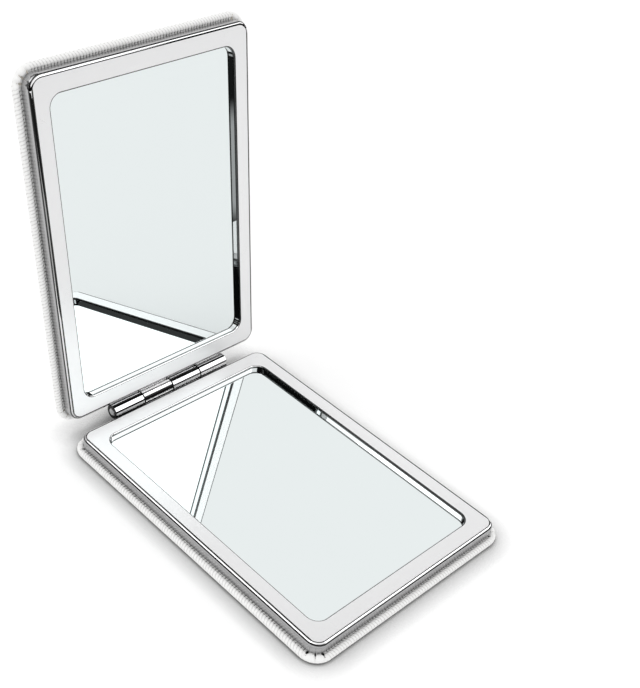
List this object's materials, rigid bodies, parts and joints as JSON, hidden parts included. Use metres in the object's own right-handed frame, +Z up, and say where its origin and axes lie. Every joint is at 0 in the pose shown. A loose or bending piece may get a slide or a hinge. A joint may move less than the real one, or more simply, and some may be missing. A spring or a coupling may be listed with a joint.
{
  "type": "compact mirror",
  "caption": "Folding rectangular compact mirror: leather-covered base and lid with chromed frames and recessed mirror panes, joined by a barrel hinge and held shut by magnets.",
  "frame": {"origin": "centre of the base's underside, the flat leather face it rests on", "axes": "+X along the hinge, +Y from the free end of the base towards the hinge, +Z up out of the base's mirror"},
  "size_m": [0.065, 0.1076, 0.0914],
  "materials": {
    "leather": "satin",
    "foam": "matte",
    "board": "matte",
    "bond": "matte",
    "steel_plate": "satin",
    "chromed_frame": "polished",
    "mirror_pane": "polished",
    "hinge_chrome": "polished",
    "magnet": "satin",
    "pin_steel": "polished"
  },
  "bodies": {
    "base": {"base_cover": "leather", "base_padding": "foam", "base_board": "board", "base_bond_sheet": "bond", "base_back_plate": "steel_plate", "base_frame": "chromed_frame", "base_mirror": "mirror_pane", "base_mirror_tape": "foam", "base_hinge_leaf": "hinge_chrome", "base_magnets": "magnet", "hinge_pin": "pin_steel"},
    "lid": {"lid_cover": "leather", "lid_padding": "foam", "lid_board": "board", "lid_bond_sheet": "bond", "lid_back_plate": "steel_plate", "lid_frame": "chromed_frame", "lid_mirror": "mirror_pane", "lid_mirror_tape": "foam", "lid_hinge_leaf": "hinge_chrome", "lid_magnets": "magnet"}
  },
  "joints": [
    {"name": "lid_hinge", "type": "hinge", "parent": "base", "child": "lid", "pos_m": [0, 0.04424, 0.005], "axis": [-1, 0, 0], "range_deg": [-99.5, 80.5]}
  ]
}
